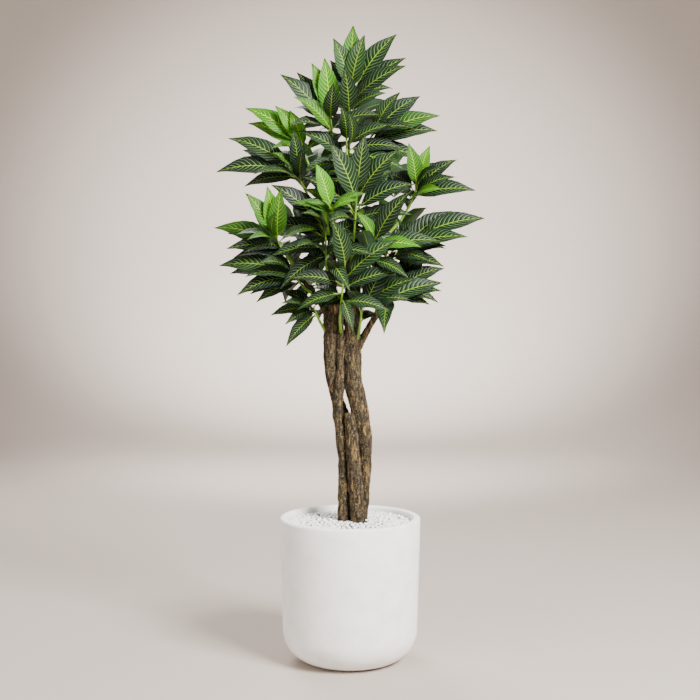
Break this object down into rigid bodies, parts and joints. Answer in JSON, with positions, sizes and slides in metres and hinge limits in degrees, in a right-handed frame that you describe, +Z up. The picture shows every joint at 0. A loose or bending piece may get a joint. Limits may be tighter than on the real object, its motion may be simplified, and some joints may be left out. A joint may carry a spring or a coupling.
{
  "type": "potted guava tree",
  "caption": "Potted ornamental tree with twined woody trunks, leafy green shoots and veined leaves, in a round white planter topped with pebbles.",
  "frame": {"origin": "middle of the planter's flat underside, on the surface that the tree stands on", "axes": "+Z up along the planter, -Y towards the front, +X to the right seen from the front"},
  "size_m": [0.6723, 0.494, 1.604],
  "materials": {
    "planter": "matt off-white fibre cement",
    "potting_mix": "dark crumbly mix, hidden under the pebbles",
    "pebbles": "tumbled white marble pebbles",
    "bark": "rough furrowed bark",
    "green_stem": "smooth green shoot",
    "leaf": "waxy dark leaf with pale veins",
    "young_leaf": "waxy bright young leaf with pale veins"
  },
  "bodies": {
    "root": {"branch_back_left": "bark", "branch_back_middle": "bark", "branch_back_right": "bark", "branch_left": "bark", "branch_right": "bark", "leaves_back_left": "leaf", "leaves_back_low_left": "leaf", "leaves_back_low_right": "leaf", "leaves_back_middle": "leaf", "leaves_back_right": "leaf", "leaves_back_top": "leaf", "leaves_back_upper_left": "leaf", "leaves_back_upper_right": "leaf", "leaves_centre": "leaf", "leaves_front_bright": "young_leaf", "leaves_front_left": "leaf", "leaves_front_low": "leaf", "leaves_front_middle": "leaf", "leaves_left_bright": "young_leaf", "leaves_left_dark": "leaf", "leaves_left_low": "leaf", "leaves_left_middle": "leaf", "leaves_left_young": "young_leaf", "leaves_right": "leaf", "leaves_right_front": "leaf", "leaves_right_low": "leaf", "leaves_right_low_stem": "leaf", "leaves_right_wide": "leaf", "leaves_top": "leaf", "leaves_trunk_left_low": "leaf", "leaves_upper_left": "leaf", "leaves_upper_right": "leaf", "pebble_bed": "pebbles", "pot": "planter", "potting_mix": "potting_mix", "stem_back_left": "green_stem", "stem_back_low_left": "green_stem", "stem_back_low_right": "green_stem", "stem_back_middle": "green_stem", "stem_back_right": "green_stem", "stem_back_top": "green_stem", "stem_back_upper_left": "green_stem", "stem_back_upper_right": "green_stem", "stem_front_bright": "green_stem", "stem_front_left": "green_stem", "stem_front_low": "green_stem", "stem_front_middle": "green_stem", "stem_left_bright": "green_stem", "stem_left_dark": "green_stem", "stem_left_young": "green_stem", "stem_right": "green_stem", "stem_right_front": "green_stem", "stem_right_wide": "green_stem", "stem_top": "green_stem", "stem_upper_left": "green_stem", "stem_upper_right": "green_stem", "trunk_front": "bark", "trunk_left": "bark", "trunk_middle": "bark", "trunk_right": "bark"}
  },
  "joints": []
}
